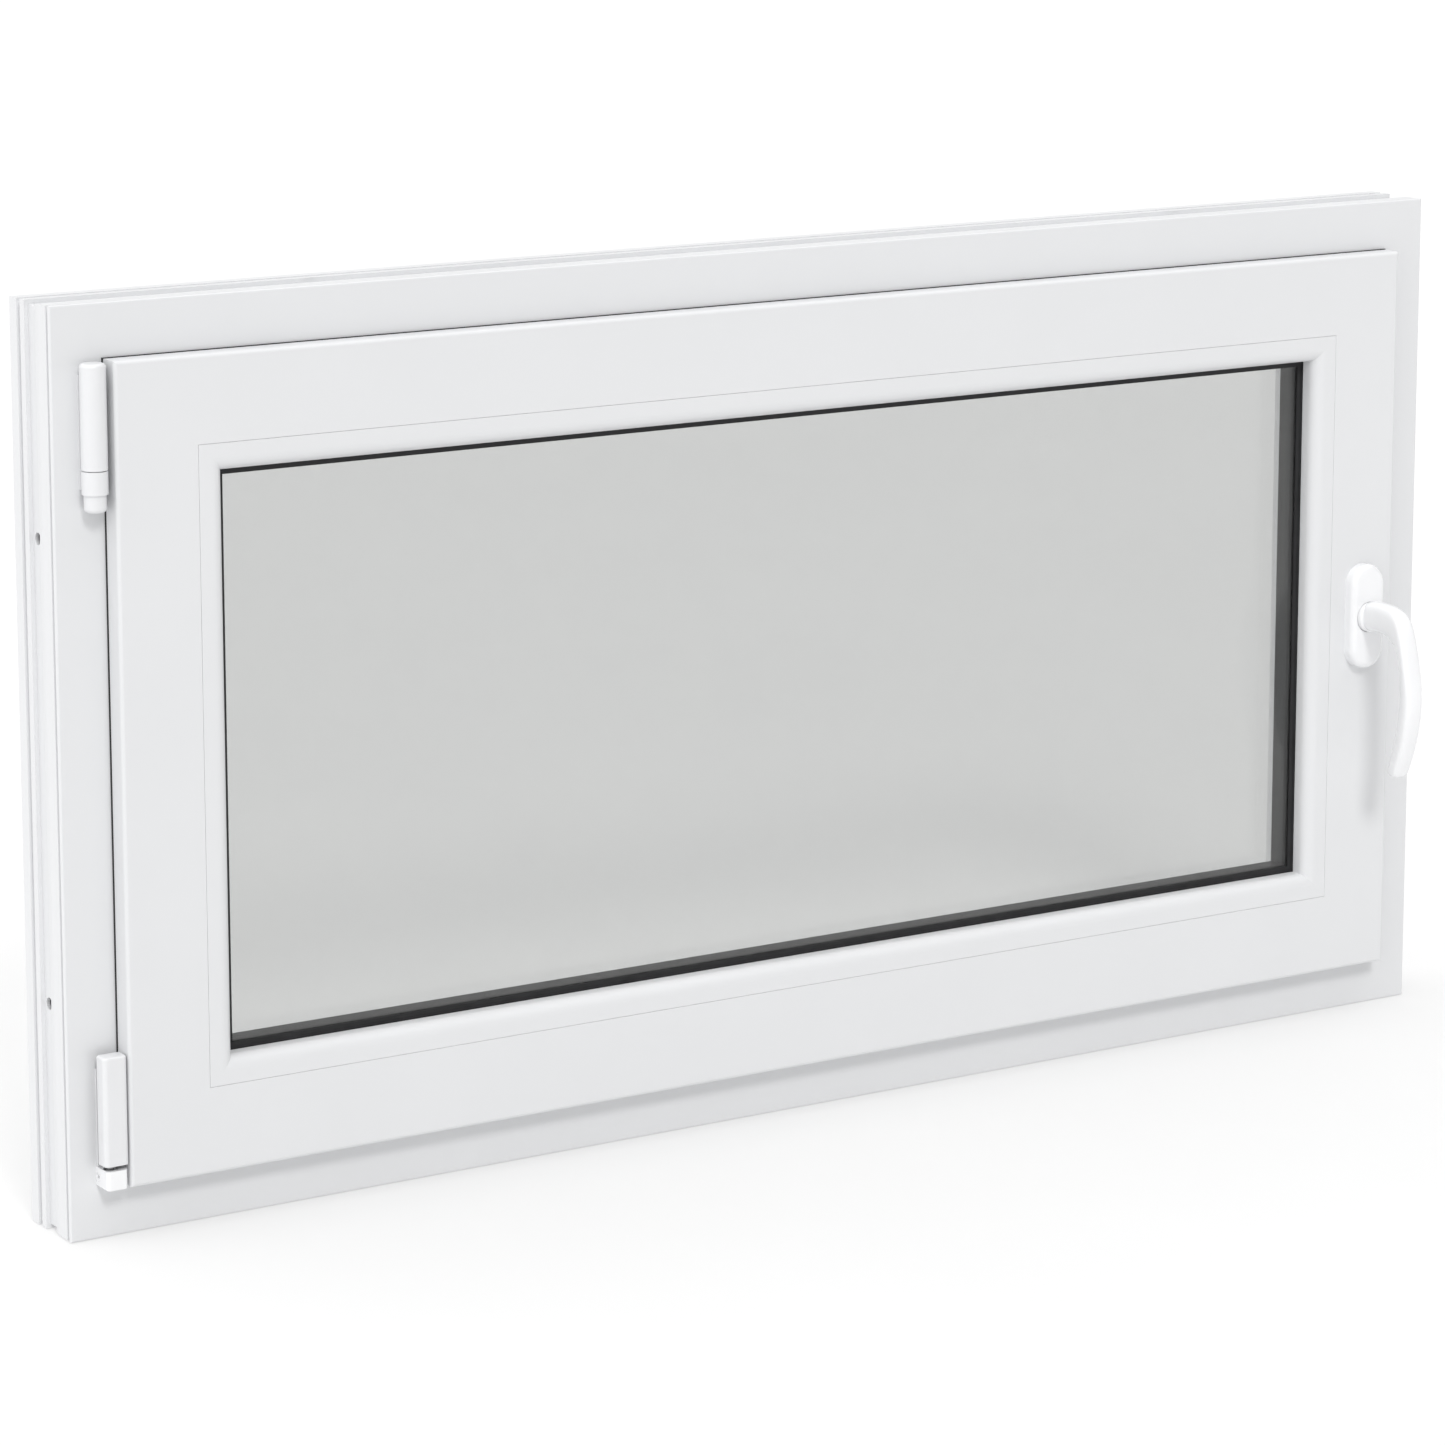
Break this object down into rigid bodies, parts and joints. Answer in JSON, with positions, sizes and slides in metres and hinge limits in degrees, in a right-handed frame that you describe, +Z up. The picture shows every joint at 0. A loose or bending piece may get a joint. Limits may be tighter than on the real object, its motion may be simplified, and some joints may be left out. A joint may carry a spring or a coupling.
{
  "type": "tilt-and-turn casement window",
  "caption": "Inward-opening tilt-and-turn window: hollow white outer frame, hinged glazed sash, corner hinges, lever handle driving locking rods and a tilt stay.",
  "frame": {"origin": "bottom centre of the outer frame, in the plane of its room-side face", "axes": "+X along the sill from the hinge side to the handle side, +Y from the room towards the outside, +Z up"},
  "size_m": [1.1, 0.1437, 0.6],
  "materials": {
    "pvc_white": "extruded white PVC, satin gloss, welded and cleaned corners",
    "cap_white": "moulded white nylon, fine satin",
    "handle_white": "white powder-coated die casting, smooth",
    "zinc_steel": "zinc-plated and passivated steel, satin",
    "galvanised": "hot-dip galvanised sheet, spangled",
    "die_cast": "zinc die casting, fine grain",
    "gasket_black": "black EPDM, matt",
    "sealant_black": "black polysulphide edge seal",
    "spacer_dark": "dark grey warm-edge spacer bar",
    "glass_clear": "float glass, low-iron grey tint",
    "block_plastic": "moulded polypropylene packer"
  },
  "bodies": {
    "frame": {"frame_head": "pvc_white", "frame_sill": "pvc_white", "frame_jamb_hinge_side": "pvc_white", "frame_jamb_lock_side": "pvc_white", "frame_reinforcement": "galvanised", "frame_stop_gasket": "gasket_black", "drain_caps": "cap_white", "striker_plates": "zinc_steel", "striker_screws": "zinc_steel", "stay_bearing": "handle_white", "top_hinge_pin": "zinc_steel", "stay_bearing_cover": "cap_white", "corner_bearing": "handle_white", "bearing_adjusting_screw": "handle_white"},
    "pivot": {"pivot_fork": "zinc_steel", "tilt_pin": "zinc_steel"},
    "stay": {"stay_arm": "zinc_steel", "stay_slider_pin": "zinc_steel", "top_hinge_cover": "cap_white"},
    "handle": {"handle_lever": "handle_white", "handle_spindle": "zinc_steel", "gearbox_pinion": "die_cast"},
    "lock_rod": {"lock_rod": "zinc_steel", "lock_rod_cams": "zinc_steel"},
    "top_rod": {"top_rod": "zinc_steel", "top_rod_cams": "zinc_steel"},
    "bottom_rod": {"bottom_rod": "zinc_steel", "bottom_rod_cams": "zinc_steel"},
    "sash": {"sash_top_rail": "pvc_white", "sash_bottom_rail": "pvc_white", "sash_hinge_stile": "pvc_white", "sash_lock_stile": "pvc_white", "sash_reinforcement": "galvanised", "sash_overlap_gasket": "gasket_black", "glazing_bead_top": "pvc_white", "glazing_bead_bottom": "pvc_white", "glazing_bead_left": "pvc_white", "glazing_bead_right": "pvc_white", "glass_pane_inner": "glass_clear", "glass_pane_outer": "glass_clear", "glass_spacer_bar": "spacer_dark", "glass_edge_seal": "sealant_black", "glazing_gasket_inner": "gasket_black", "glazing_gasket_outer": "gasket_black", "setting_blocks": "block_plastic", "faceplate_lock_side": "zinc_steel", "faceplate_top": "zinc_steel", "faceplate_bottom": "zinc_steel", "stay_guide_rail": "zinc_steel", "corner_drive_guides": "die_cast", "faceplate_screws": "zinc_steel", "gearbox_case": "die_cast", "corner_band": "die_cast", "corner_hinge_cover": "cap_white", "rosette_base": "cap_white", "rosette_cover": "handle_white", "handle_screws": "zinc_steel"}
  },
  "joints": [
    {"name": "sash_turn", "type": "hinge", "parent": "frame", "child": "pivot", "pos_m": [-0.526, -0.0095, 0.04], "axis": [0, 0, -1], "range_deg": [0, 95]},
    {"name": "sash_tilt", "type": "hinge", "parent": "pivot", "child": "sash", "pos_m": [-0.526, -0.0095, 0.04], "axis": [1, 0, 0], "range_deg": [0, 9]},
    {"name": "stay_swing", "type": "hinge", "parent": "pivot", "child": "stay", "pos_m": [-0.526, -0.0095, 0.55], "axis": [0, 0, -1], "range_deg": [0, 17.7]},
    {"name": "handle_turn", "type": "hinge", "parent": "sash", "child": "handle", "pos_m": [0.4865, -0.03, 0.3], "axis": [0, 1, 0], "range_deg": [0, 180]},
    {"name": "lock_rod_slide", "type": "slide", "parent": "sash", "child": "lock_rod", "axis": [0, 0, 1], "range_m": [0, 0.0221]},
    {"name": "top_rod_slide", "type": "slide", "parent": "sash", "child": "top_rod", "axis": [-1, 0, 0], "range_m": [0, 0.0221]},
    {"name": "bottom_rod_slide", "type": "slide", "parent": "sash", "child": "bottom_rod", "axis": [1, 0, 0], "range_m": [0, 0.0221]}
  ],
  "couplings": [
    {"joint": "stay_swing", "follows": "sash_tilt", "ratio": 1.955},
    {"joint": "lock_rod_slide", "follows": "handle_turn", "m_per_rad": 0.007},
    {"joint": "top_rod_slide", "follows": "handle_turn", "m_per_rad": 0.007},
    {"joint": "bottom_rod_slide", "follows": "handle_turn", "m_per_rad": 0.007}
  ]
}
